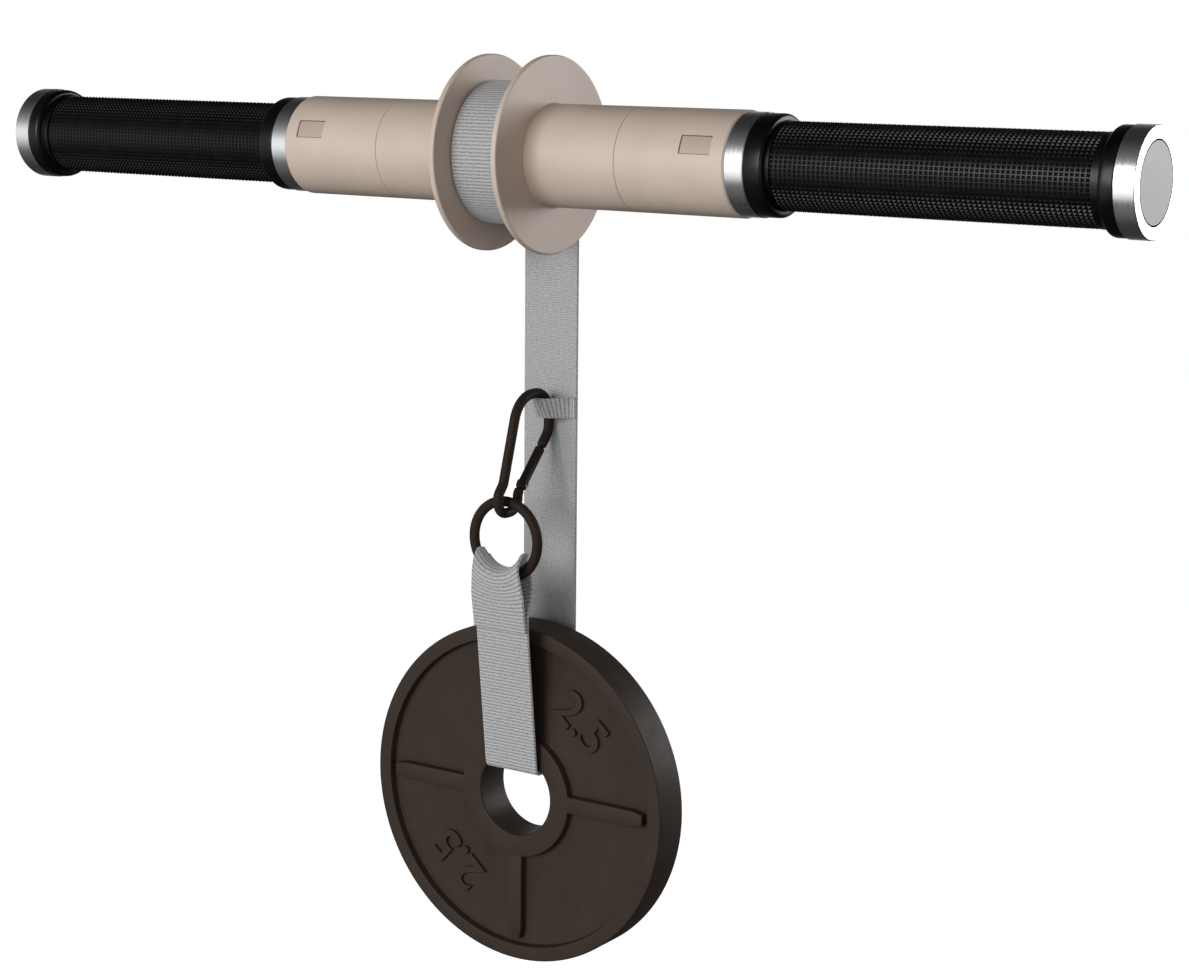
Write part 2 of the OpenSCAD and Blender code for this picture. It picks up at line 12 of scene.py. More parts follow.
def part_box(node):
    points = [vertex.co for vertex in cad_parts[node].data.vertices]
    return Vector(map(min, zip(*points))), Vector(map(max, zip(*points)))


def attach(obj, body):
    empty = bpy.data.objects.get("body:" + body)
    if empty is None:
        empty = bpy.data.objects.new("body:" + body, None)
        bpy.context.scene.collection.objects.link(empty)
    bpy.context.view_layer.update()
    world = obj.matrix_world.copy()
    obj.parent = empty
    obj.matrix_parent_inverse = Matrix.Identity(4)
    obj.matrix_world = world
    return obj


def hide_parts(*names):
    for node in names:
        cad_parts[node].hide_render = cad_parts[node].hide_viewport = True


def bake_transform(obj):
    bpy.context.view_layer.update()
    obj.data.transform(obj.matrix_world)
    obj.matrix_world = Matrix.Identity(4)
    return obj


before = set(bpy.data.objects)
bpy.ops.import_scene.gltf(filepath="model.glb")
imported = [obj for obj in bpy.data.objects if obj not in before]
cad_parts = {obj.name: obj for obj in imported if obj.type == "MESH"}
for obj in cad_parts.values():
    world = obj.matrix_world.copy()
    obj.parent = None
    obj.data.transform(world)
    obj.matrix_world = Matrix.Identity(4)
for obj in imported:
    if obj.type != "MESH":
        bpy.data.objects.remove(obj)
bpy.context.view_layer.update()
MM = 0.001


def mm_box(node):
    """Lowest and highest corner of a CAD node in millimetres."""
    low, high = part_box(node)
    return low / MM, high / MM


# The camera, fitted to the photograph's 1189 x 972 pixels
IMAGE_W = 1189
SENSOR = 36
FOCAL_PX = 2505.9
YAW, PITCH, ROLL = math.radians(34.05), math.radians(10.48), math.radians(0.56)
CAMERA_AT = Vector((559.1, -775.2, 49.2)) * MM


def make_camera():
    """The photograph's camera, which sees 1189 x 972 pixels."""
    level_part = math.cos(PITCH)
    ahead = Vector((-math.sin(YAW) * level_part, math.cos(YAW) * level_part, -math.sin(PITCH)))
    level = Vector((math.cos(YAW), math.sin(YAW), 0))
    right = level * math.cos(ROLL) + level.cross(ahead) * math.sin(ROLL)
    up = right.cross(ahead)
    data = bpy.data.cameras.new("photo_camera")
    data.sensor_width = SENSOR
    data.lens = SENSOR * FOCAL_PX / IMAGE_W
    data.clip_start = 0.01
    camera = bpy.data.objects.new("photo_camera", data)
    turn = Matrix((right, up, -ahead)).transposed().to_4x4()
    camera.matrix_world = Matrix.Translation(CAMERA_AT) @ turn
    bpy.context.collection.objects.link(camera)
    bpy.context.scene.camera = camera


# Shader helpers
def hex_colour(text):
    """An sRGB colour such as "C8B6A5" as linear RGBA."""
    parts = [int(text[i : i + 2], 16) / 255 for i in (0, 2, 4)]
    return [c / 12.92 if c <= 0.04045 else ((c + 0.055) / 1.055) ** 2.4 for c in parts] + [1]


def add_node(tree, kind, links=(), **settings):
    """A node of that kind. A setting names a property, or a socket by name or number as in_NAME."""
    node = tree.nodes.new(kind)
    for key, value in settings.items():
        if key.startswith("in_"):
            name = key[3:]
            node.inputs[int(name) if name.isdigit() else name.replace("_", " ")].default_value = value
        else:
            setattr(node, key, value)
    for source, name in links:
        tree.links.new(source, node.inputs[name])
    return node


def new_material(name, **settings):
    """A material with a Principled shader that has these socket values."""
    made = bpy.data.materials.new(name)
    made.use_nodes = True
    tree = made.node_tree
    shader = tree.nodes["Principled BSDF"]
    for key, value in settings.items():
        shader.inputs[key.replace("_", " ")].default_value = value
    return made, tree, shader


def speckle(tree, coords, shader, size, low, high):
    """Colour that wanders between two tones in patches of the given size in millimetres."""
    noise = add_node(
        tree, "ShaderNodeTexNoise", [(coords, "Vector")], in_Scale=1 / (size * MM), in_Detail=3.0
    )
    ramp = add_node(tree, "ShaderNodeValToRGB", [(noise.outputs["Fac"], "Fac")])
    for stop, at, tone in zip(ramp.color_ramp.elements, (0.35, 0.65), (low, high)):
        stop.position = at
        stop.color = hex_colour(tone)
    tree.links.new(ramp.outputs["Color"], shader.inputs["Base Color"])
    return noise


def grain(tree, coords, shader, size, depth):
    """Fine surface relief: patches of the given size and depth in millimetres."""
    noise = add_node(
        tree, "ShaderNodeTexNoise", [(coords, "Vector")], in_Scale=1 / (size * MM), in_Detail=2.0
    )
    bump = add_node(tree, "ShaderNodeBump", [(noise.outputs["Fac"], "Height")], in_Distance=depth * MM)
    tree.links.new(bump.outputs["Normal"], shader.inputs["Normal"])


def rough_range(tree, noise, shader, low, high):
    """Roughness that follows a noise between two values."""
    spread = add_node(
        tree, "ShaderNodeMapRange", [(noise.outputs["Fac"], "Value")],
        in_1=0.3, in_2=0.7, in_3=low, in_4=high,
    )
    tree.links.new(spread.outputs["Result"], shader.inputs["Roughness"])


def moulded_plastic(name, low, high, rough, grain_depth=0.012):
    """Injection-moulded ABS, nylon or acetal: an even satin colour, a very fine spark-eroded grain and
    soft highlights."""
    made, tree, shader = new_material(name, IOR=1.53)
    coords = add_node(tree, "ShaderNodeTexCoord").outputs["Object"]
    patches = speckle(tree, coords, shader, 18, low, high)
    rough_range(tree, patches, shader, rough - 0.03, rough + 0.04)
    grain(tree, coords, shader, 0.35, grain_depth)
    return made


def nitrile_rubber():
    """Moulded nitrile rubber: black, a dull sheen on its edges and a dusty, slightly uneven skin."""
    made, tree, shader = new_material("nitrile_rubber", IOR=1.52, Specular_IOR_Level=0.24)
    coords = add_node(tree, "ShaderNodeTexCoord").outputs["Object"]
    patches = speckle(tree, coords, shader, 6, "030303", "070707")
    rough_range(tree, patches, shader, 0.27, 0.35)
    grain(tree, coords, shader, 0.5, 0.015)
    return made


def turned_stainless():
    """Stainless steel turned and polished: bright and soft, with fine rings that run round the bar."""
    made, tree, shader = new_material("turned_stainless", Metallic=1.0)
    shader.inputs["Base Color"].default_value = hex_colour("E2E2E4")
    coords = add_node(tree, "ShaderNodeTexCoord").outputs["Object"]
    stretched = add_node(tree, "ShaderNodeMapping", [(coords, "Vector")], in_Scale=(1, 0.02, 0.02))
    # Turning marks every 0.15 mm, far coarser than the real ones so that they show
    lines = add_node(
        tree, "ShaderNodeTexNoise", [(stretched.outputs["Vector"], "Vector")],
        in_Scale=1 / (0.15 * MM), in_Detail=2.0,
    )
    rough_range(tree, lines, shader, 0.22, 0.31)
    bump = add_node(tree, "ShaderNodeBump", [(lines.outputs["Fac"], "Height")], in_Distance=0.0008 * MM)
    tree.links.new(bump.outputs["Normal"], shader.inputs["Normal"])
    return made


def zinc_plated_steel():
    """Zinc-plated steel of pins, screws and springs: grey, half dull, slightly mottled."""
    made, tree, shader = new_material("zinc_plated_steel", Metallic=1.0)
    coords = add_node(tree, "ShaderNodeTexCoord").outputs["Object"]
    patches = speckle(tree, coords, shader, 2, "8F8F90", "B4B4B6")
    rough_range(tree, patches, shader, 0.25, 0.42)
    return made


def powder_coat(name, low, high, rough, gloss, size, depth):
    """Baked powder coat on steel or iron: dark brown, with a fine orange-peel skin."""
    made, tree, shader = new_material(name, IOR=1.5, Specular_IOR_Level=gloss)
    coords = add_node(tree, "ShaderNodeTexCoord").outputs["Object"]
    patches = speckle(tree, coords, shader, 9, low, high)
    rough_range(tree, patches, shader, rough - 0.05, rough + 0.06)
    grain(tree, coords, shader, size, depth)
    return made


# Webbing pattern, in millimetres on the piece's own UV map: U across the strap, V along it
RIB_PITCH = 1.35
YARN_PITCH = 0.8
BACK_PITCH = 0.7
WEAVE_DEPTH = 0.13
# Patches of lighter and darker yarn to the millimetre
HEATHER_PER_MM = 1.3
# A wave texture's period is this over its scale
WAVE_PERIOD = 0.31416


def woven_polyester(name, rib_pitch, wander, rib_share, dark):
    """Heather grey polyester webbing: dull, ribbed across, with lighter and darker yarns mixed in."""
    made, tree, shader = new_material(name, IOR=1.46, Roughness=0.85)
    shader.inputs["Sheen Weight"].default_value = 0.3
    shader.inputs["Sheen Roughness"].default_value = 0.5
    uv = add_node(tree, "ShaderNodeUVMap", uv_map="weave").outputs["UV"]
    ribs = add_node(
        tree, "ShaderNodeTexWave", [(uv, "Vector")], bands_direction="Y",
        in_Scale=WAVE_PERIOD / rib_pitch, in_Distortion=wander, in_Detail=2.0, in_Detail_Scale=2.5,
    )
    yarns = add_node(
        tree, "ShaderNodeTexWave", [(uv, "Vector")], bands_direction="X",
        in_Scale=WAVE_PERIOD / YARN_PITCH, in_Distortion=1.0, in_Detail=1.0, in_Detail_Scale=2.0,
    )
    # Narrow dark gaps between broad ribs, with the yarns fainter on them
    broad = add_node(tree, "ShaderNodeMath", [(ribs.outputs["Fac"], 0)], operation="POWER", in_1=0.6)
    faint = add_node(
        tree, "ShaderNodeMath", [(yarns.outputs["Fac"], 0)], operation="MULTIPLY_ADD", in_1=0.5, in_2=0.5
    )
    weave = add_node(
        tree, "ShaderNodeMath", [(broad.outputs[0], 0), (faint.outputs[0], 1)], operation="MULTIPLY"
    )
    stretched = add_node(tree, "ShaderNodeMapping", [(uv, "Vector")], in_Scale=(0.6, 1.6, 1))
    heather = add_node(
        tree, "ShaderNodeTexNoise", [(stretched.outputs["Vector"], "Vector")],
        in_Scale=HEATHER_PER_MM, in_Detail=4, in_Roughness=0.75,
    )
    tone = add_node(
        tree, "ShaderNodeMath", [(weave.outputs["Value"], 0), (heather.outputs["Fac"], 2)],
        operation="MULTIPLY_ADD", in_1=rib_share,
    )
    ramp = add_node(tree, "ShaderNodeValToRGB", [(tone.outputs["Value"], "Fac")])
    for stop, at, shade in zip(ramp.color_ramp.elements, (0.3, 1.0), (dark, "C4C4C5")):
        stop.position = at
        stop.color = hex_colour(shade)
    tree.links.new(ramp.outputs["Color"], shader.inputs["Base Color"])
    bump = add_node(
        tree, "ShaderNodeBump", [(weave.outputs["Value"], "Height")], in_Distance=WEAVE_DEPTH * MM
    )
    tree.links.new(bump.outputs["Normal"], shader.inputs["Normal"])
    return made


def sewing_thread():
    """Bonded nylon thread, grey like the webbing and a little glossier."""
    made, tree, shader = new_material("bonded_thread", IOR=1.53)
    coords = add_node(tree, "ShaderNodeTexCoord").outputs["Object"]
    patches = speckle(tree, coords, shader, 0.6, "8A8A8C", "B8B8BA")
    rough_range(tree, patches, shader, 0.5, 0.65)
    return made


ABS = moulded_plastic("moulded_abs", "C5B3A5", "C9B8AA", 0.42)
BUTTON_ABS = moulded_plastic("button_abs", "B09D92", "B5A297", 0.40)
RUBBER = nitrile_rubber()
BLACK_NYLON = moulded_plastic("black_nylon", "161616", "1C1C1C", 0.45)
STAINLESS = turned_stainless()
STEEL = zinc_plated_steel()
# End plugs: their own light grey, raised further as painted light that stands in for the light their end
# faces get too little of
GREY_ACETAL_PAINTED_LIGHT = moulded_plastic("grey_acetal_painted_light", "D4D4D4", "DADADA", 0.5, 0.006)
# Hook, gate and ring: their own dark brown coat, darkened below the plate's coat as painted shade on the hook
COAT_PAINTED_SHADE = powder_coat("powder_coated_steel_painted_shade", "2A221C", "302722", 0.5, 0.06, 0.4, 0.01)
IRON = powder_coat("powder_coated_iron", "342B24", "382E28", 0.45, 0.13, 0.6, 0.02)
# Ribbed on its outer side, a fine plain weave on its inner one
WEBBING = woven_polyester("heather_webbing", RIB_PITCH, 1.6, 0.5, "5A5A5C")
WEBBING_BACK = woven_polyester("heather_webbing_back", BACK_PITCH, 0.5, 0.5, "606062")
THREAD = sewing_thread()


# How far a strap's edge bulges, as a share of half its thickness
SELVEDGE = 0.6


# Mesh helpers
def piece(name, points, faces, material, uv=None, smooth=True):
    """A mesh object at the origin from points in millimetres."""
    mesh = bpy.data.meshes.new(name)
    mesh.from_pydata([Vector(p) * MM for p in points], [], faces)
    if uv:
        layer = mesh.uv_layers.new(name="weave")
        for loop in mesh.loops:
            layer.data[loop.index].uv = uv[loop.vertex_index]
    mesh.materials.append(material)
    mesh.validate()
    mesh.polygons.foreach_set("use_smooth", [smooth] * len(mesh.polygons))
    made = bpy.data.objects.new(name, mesh)
    bpy.context.collection.objects.link(made)
    return made


def outward(made):
    """Face normals recalculated to point outwards."""
    shape = bmesh.new()
    shape.from_mesh(made.data)
    bmesh.ops.recalc_face_normals(shape, faces=shape.faces)
    shape.to_mesh(made.data)
    shape.free()
    return made


def sharp_edges(made, degrees):
    """Smooth shading, broken where faces meet at more than this angle."""
    made.data.set_sharp_from_angle(angle=math.radians(degrees))
    return made


def applied(made):
    """The object with its modifiers worked into a plain mesh."""
    evaluated = made.evaluated_get(bpy.context.evaluated_depsgraph_get())
    mesh = bpy.data.meshes.new_from_object(evaluated)
    made.modifiers.clear()
    made.data = mesh
    return made


def ring_faces(count, a, b):
    """Quads between two rings of points that start at numbers a and b."""
    return [(a + i, a + (i + 1) % count, b + (i + 1) % count, b + i) for i in range(count)]


def lathe(name, outline, place, material, segments):
    """A closed solid turned from an outline. place gives a point from a pair of it and a turn's cosine
    and sine."""
    points, faces, count = [], [], len(outline)
    for s in range(segments):
        a = 2 * math.pi * s / segments
        points += [place(u, v, math.cos(a), math.sin(a)) for u, v in outline]
    for s in range(segments):
        faces += ring_faces(count, s * count, (s + 1) % segments * count)
    return outward(piece(name, points, faces, material))


def arc(cx, cy, r, a0, a1, steps):
    """Points along an arc, angles in degrees."""
    turns = [math.radians(a0 + (a1 - a0) * i / steps) for i in range(steps + 1)]
    return [(cx + r * math.cos(a), cy + r * math.sin(a)) for a in turns]


def rounded(path, radii, steps=8):
    """A path of 2-D points with its corners rounded to the given radii."""
    out = [Vector(path[0])]
    for i in range(1, len(path) - 1):
        p, q, r = (Vector(path[k]) for k in (i - 1, i, i + 1))
        u, v = (p - q).normalized(), (r - q).normalized()
        half = u.angle(v) / 2
        if radii[i] <= 0 or half > math.pi / 2 - 0.01:
            out.append(q)
            continue
        back = radii[i] / math.tan(half)
        centre = q + (u + v).normalized() * radii[i] / math.sin(half)
        a, b = q + u * back - centre, q + v * back - centre
        turn = math.atan2(a.x * b.y - a.y * b.x, a.dot(b))
        out += [centre + Matrix.Rotation(turn * k / steps, 2) @ a for k in range(steps + 1)]
    return out + [Vector(path[-1])]


def resampled(path, spacing):
    """The same 2-D path with evenly spaced points."""
    lengths = [0]
    for a, b in zip(path, path[1:]):
        lengths.append(lengths[-1] + (b - a).length)
    count = max(2, round(lengths[-1] / spacing))
    out, k = [], 0
    for i in range(count + 1):
        at = lengths[-1] * i / count
        while k < len(path) - 2 and lengths[k + 1] < at:
            k += 1
        span = lengths[k + 1] - lengths[k]
        out.append(path[k].lerp(path[k + 1], min(1, (at - lengths[k]) / span) if span else 0))
    return out


def tube(name, centres, radii, material, sides=28, closed=False):
    """A round wire along 3-D centres, one radius for each. An open one has domed ends."""
    centres = [Vector(c) for c in centres]
    count = len(centres)
    heading = []
    for i in range(count):
        a = centres[(i - 1) % count] if closed or i else centres[0]
        b = centres[(i + 1) % count] if closed or i < count - 1 else centres[-1]
        heading.append((b - a).normalized())
    normal = heading[0].orthogonal().normalized()
    points, faces = [], []
    for i, centre in enumerate(centres):
        normal = (normal - heading[i] * normal.dot(heading[i])).normalized()
        other = heading[i].cross(normal)
        for s in range(sides):
            a = 2 * math.pi * s / sides
            points.append(centre + (normal * math.cos(a) + other * math.sin(a)) * radii[i])
    for i in range(count - (0 if closed else 1)):
        faces += ring_faces(sides, i * sides, (i + 1) % count * sides)
    if not closed:
        faces += [tuple(range(sides)), tuple(range((count - 1) * sides, count * sides))]
    return outward(piece(name, points, faces, material))


def strap(name, rows, thickness, stretch=1, start=0, plain_back=False):
    """Webbing from rows of mid-surface points in millimetres, each row running across the strap. Its
    faces lie half the thickness to each side and its selvedges are rounded. UVs are in millimetres
    and begin at start, and stretch makes its ribs that much coarser. With plain_back its inner side is
    plainly woven."""
    rows = [[Vector(p) for p in row] for row in rows]
    wide, long = len(rows[0]), len(rows)
    half = thickness / 2
    along = [start]
    for a, b in zip(rows, rows[1:]):
        along.append(along[-1] + (b[wide // 2] - a[wide // 2]).length / stretch)
    points, uv, faces = [], [], []
    for i, row in enumerate(rows):
        ahead = rows[min(i + 1, long - 1)]
        behind = rows[max(i - 1, 0)]
        across = [0]
        for a, b in zip(row, row[1:]):
            across.append(across[-1] + (b - a).length)
        normals = []
        for j in range(wide):
            side = row[min(j + 1, wide - 1)] - row[max(j - 1, 0)]
            normals.append(side.cross(ahead[j] - behind[j]).normalized())
        first, last = (row[0] - row[1]).normalized(), (row[-1] - row[-2]).normalized()
        points += [p + n * half for p, n in zip(row, normals)]
        points.append(row[-1] + last * half * SELVEDGE)
        points += [p - n * half for p, n in reversed(list(zip(row, normals)))]
        points.append(row[0] + first * half * SELVEDGE)
        uv += [(w, along[i]) for w in across] + [(across[-1] + half, along[i])]
        uv += [(w, along[i]) for w in reversed(across)] + [(-half, along[i])]
    loop = 2 * wide + 2
    for i in range(long - 1):
        faces += ring_faces(loop, i * loop, (i + 1) * loop)
    faces += [tuple(range(loop)), tuple(range((long - 1) * loop, long * loop))]
    made = piece(name, points, faces, WEBBING, uv)
    if plain_back:
        made.data.materials.append(WEBBING_BACK)
        for k in range((long - 1) * loop):
            made.data.polygons[k].material_index = int(k % loop >= wide)
    return sharp_edges(outward(made), 50)


def flat_rows(path, width, wide=10):
    """Rows of a strap that follows a 2-D path of (y, z) and is straight across."""
    return [[(width * (j / wide - 0.5), p.x, p.y) for j in range(wide + 1)] for p in path]


# Geometry Nodes helpers
def node_group(name, sizes):
    """An empty geometry tree with named number inputs, and its input and output nodes."""
    tree = bpy.data.node_groups.new(name, "GeometryNodeTree")
    tree.interface.new_socket("Geometry", in_out="INPUT", socket_type="NodeSocketGeometry")
    for size, (kind, value) in sizes.items():
        tree.interface.new_socket(size, in_out="INPUT", socket_type=kind).default_value = value
    tree.interface.new_socket("Geometry", in_out="OUTPUT", socket_type="NodeSocketGeometry")
    return tree, tree.nodes.new("NodeGroupInput"), tree.nodes.new("NodeGroupOutput")


def grown(made, tree, **values):
    """The object after the tree has run on it with these sizes, as a plain mesh."""
    modifier = made.modifiers.new(tree.name, "NODES")
    modifier.node_group = tree
    for item in tree.interface.items_tree:
        if item.in_out == "INPUT" and item.name in values:
            modifier[item.identifier] = values[item.name]
    return applied(made)


# Share of the pitch that a pyramid's base takes up, where the rest is groove, and its flat tip's radius
KNURL_COVER = 0.8
KNURL_TIP = 0.03


def knurl_tree():
    """Rows of pyramids round a cylinder about X, with flat grooves between them."""
    tree, given, result = node_group("knurl", {
        "Rows": ("NodeSocketInt", 60), "Around": ("NodeSocketInt", 60), "Start": ("NodeSocketFloat", 0.0),
        "Length": ("NodeSocketFloat", 0.1), "Root radius": ("NodeSocketFloat", 0.015),
        "Height": ("NodeSocketFloat", 0.0006), "Base": ("NodeSocketVector", (1, 1, 1)),
        "Finish": ("NodeSocketMaterial", None),
    })
    out = given.outputs
    grid = add_node(
        tree, "GeometryNodeMeshGrid", [(out["Rows"], "Vertices X"), (out["Around"], "Vertices Y")],
        in_Size_X=1.0, in_Size_Y=1.0,
    )
    spot = add_node(tree, "GeometryNodeInputPosition")
    where = add_node(tree, "ShaderNodeSeparateXYZ", [(spot.outputs[0], 0)])
    # Grid places run from -0.5 to 0.5; the last row round the bar stops one step short of a full turn
    along = add_node(
        tree, "ShaderNodeMath", [(where.outputs["X"], 0), (out["Length"], 1)], operation="MULTIPLY"
    )
    half = add_node(
        tree, "ShaderNodeMath", [(out["Length"], 0), (out["Start"], 2)], operation="MULTIPLY_ADD", in_1=0.5
    )
    x = add_node(tree, "ShaderNodeMath", [(along.outputs[0], 0), (half.outputs[0], 1)], operation="ADD")
    less = add_node(tree, "ShaderNodeMath", [(out["Around"], 0)], operation="SUBTRACT", in_1=1.0)
    share = add_node(tree, "ShaderNodeMath", [(less.outputs[0], 0), (out["Around"], 1)], operation="DIVIDE")
    full = add_node(tree, "ShaderNodeMath", [(share.outputs[0], 0)], operation="MULTIPLY", in_1=2 * math.pi)
    angle = add_node(
        tree, "ShaderNodeMath", [(where.outputs["Y"], 0), (full.outputs[0], 1)], operation="MULTIPLY"
    )
    cosine = add_node(tree, "ShaderNodeMath", [(angle.outputs[0], 0)], operation="COSINE")
    sine = add_node(tree, "ShaderNodeMath", [(angle.outputs[0], 0)], operation="SINE")
    y = add_node(
        tree, "ShaderNodeMath", [(cosine.outputs[0], 0), (out["Root radius"], 1)], operation="MULTIPLY"
    )
    z = add_node(
        tree, "ShaderNodeMath", [(sine.outputs[0], 0), (out["Root radius"], 1)], operation="MULTIPLY"
    )
    place = add_node(
        tree, "ShaderNodeCombineXYZ", [(x.outputs[0], "X"), (y.outputs[0], "Y"), (z.outputs[0], "Z")]
    )
    bent = add_node(
        tree, "GeometryNodeSetPosition", [(grid.outputs["Mesh"], "Geometry"), (place.outputs[0], "Position")]
    )
    cone = add_node(
        tree, "GeometryNodeMeshCone", [(out["Height"], "Depth")], fill_type="NGON",
        in_Vertices=4, in_Radius_Top=KNURL_TIP, in_Radius_Bottom=KNURL_COVER * math.sqrt(0.5),
    )
    squared = add_node(
        tree, "GeometryNodeTransform", [(cone.outputs["Mesh"], "Geometry")], in_Rotation=(0, 0, math.pi / 4)
    )
    sized = add_node(
        tree, "GeometryNodeTransform", [(squared.outputs[0], "Geometry"), (out["Base"], "Scale")]
    )
    now = add_node(tree, "ShaderNodeSeparateXYZ", [(spot.outputs[0], 0)])
    facing = add_node(
        tree, "ShaderNodeMath", [(now.outputs["Z"], 0), (now.outputs["Y"], 1)], operation="ARCTAN2"
    )
    tilt = add_node(tree, "ShaderNodeMath", [(facing.outputs[0], 0)], operation="SUBTRACT", in_1=math.pi / 2)
    turn = add_node(tree, "ShaderNodeCombineXYZ", [(tilt.outputs[0], "X")])
    spread = add_node(
        tree, "GeometryNodeInstanceOnPoints",
        [(bent.outputs[0], "Points"), (sized.outputs[0], "Instance"), (turn.outputs[0], "Rotation")],
    )
    real = add_node(tree, "GeometryNodeRealizeInstances", [(spread.outputs[0], "Geometry")])
    dressed = add_node(
        tree, "GeometryNodeSetMaterial", [(real.outputs[0], "Geometry"), (out["Finish"], "Material")]
    )
    tree.links.new(dressed.outputs[0], result.inputs[0])
    return tree


def stitch_tree():
    """Short rounded stitches laid end to end along a guide line, half sunk into the webbing."""
    tree, given, result = node_group("stitches", {
        "Spacing": ("NodeSocketFloat", 0.0026), "Length": ("NodeSocketFloat", 0.0019),
        "Thickness": ("NodeSocketFloat", 0.0005), "Finish": ("NodeSocketMaterial", None),
    })
    out = given.outputs
    line = add_node(tree, "GeometryNodeMeshToCurve", [(out["Geometry"], "Mesh")])
    spots = add_node(
        tree, "GeometryNodeCurveToPoints", [(line.outputs[0], "Curve"), (out["Spacing"], "Length")],
        mode="LENGTH",
    )
    ball = add_node(tree, "GeometryNodeMeshUVSphere", in_Segments=8, in_Rings=6, in_Radius=0.5)
    size = add_node(
        tree, "ShaderNodeCombineXYZ",
        [(out["Thickness"], "X"), (out["Thickness"], "Y"), (out["Length"], "Z")],
    )
    spread = add_node(
        tree, "GeometryNodeInstanceOnPoints",
        [(spots.outputs["Points"], "Points"), (ball.outputs["Mesh"], "Instance"),
         (spots.outputs["Rotation"], "Rotation"), (size.outputs[0], "Scale")],
    )
    real = add_node(tree, "GeometryNodeRealizeInstances", [(spread.outputs[0], "Geometry")])
    dressed = add_node(
        tree, "GeometryNodeSetMaterial", [(real.outputs[0], "Geometry"), (out["Finish"], "Material")]
    )
    tree.links.new(dressed.outputs[0], result.inputs[0])
    return tree


KNURL = knurl_tree()
STITCHES = stitch_tree()


def stitch_line(name, corners, body):
    """A row of stitches through these 3-D points in millimetres."""
    edges = [(i, i + 1) for i in range(len(corners) - 1)]
    mesh = bpy.data.meshes.new(name)
    mesh.from_pydata([Vector(c) * MM for c in corners], edges, [])
    made = bpy.data.objects.new(name, mesh)
    bpy.context.collection.objects.link(made)
    grown(made, STITCHES, Finish=THREAD)
    made.data.polygons.foreach_set("use_smooth", [True] * len(made.data.polygons))
    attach(made, body)
    return made


# Finishes of the CAD nodes, also of those that finer pieces stand in for
def dress(nodes, material):
    """One finish on these CAD nodes."""
    for name in nodes:
        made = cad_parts[name]
        made.data.materials.clear()
        made.data.materials.append(material)


FINISHES = {
    ABS: ["left_spool_half", "right_spool_half", "left_sleeve", "right_sleeve"],
    BUTTON_ABS: ["left_latch_button", "right_latch_button"],
    BLACK_NYLON: ["left_handle_core", "right_handle_core", "left_grip_liner", "right_grip_liner"],
    STAINLESS: ["left_inner_ring", "right_inner_ring", "left_end_ring", "right_end_ring"],
    STEEL: [
        "spool_shaft", "strap_anchor_pin", "left_latch_spring", "right_latch_spring", "lock_screws",
        "gate_spring", "gate_rivet",
    ],
    GREY_ACETAL_PAINTED_LIGHT: ["left_end_plug", "right_end_plug"],
    RUBBER: ["left_grip", "right_grip"],
    WEBBING: ["strap_core", "strap_winding", "strap_drop", "strap_tail", "strap_band", "loop_strap"],
    COAT_PAINTED_SHADE: ["hook_body", "hook_gate", "load_ring"],
    IRON: ["weight_plate"],
}

# Grip sizes, measured in from the grip's inner end
SHOULDER_W = 7.6
COLLAR_IN = 1.4
COLLAR_OUT = 3.1
FLARE_W = 5.7
KNURL_R = 16.0
KNURL_DEPTH = 0.6
KNURL_ROWS = 64
KNURL_AROUND = 62
# How far the pyramids' feet are sunk into the rubber under them
KNURL_SINK = 0.05
GRIP_BORE_R = 14.0
# Roundings of the grip's outer edges, its shoulder and its flare
GRIP_EDGE = 0.5
SHOULDER_ROUND = 1.6
FLARE_ROUND = 1.8
# The chamfer that the shoulder ends in, and the step that the flare starts with
COLLAR_CHAMFER = 0.2
FLARE_STEP = 0.4


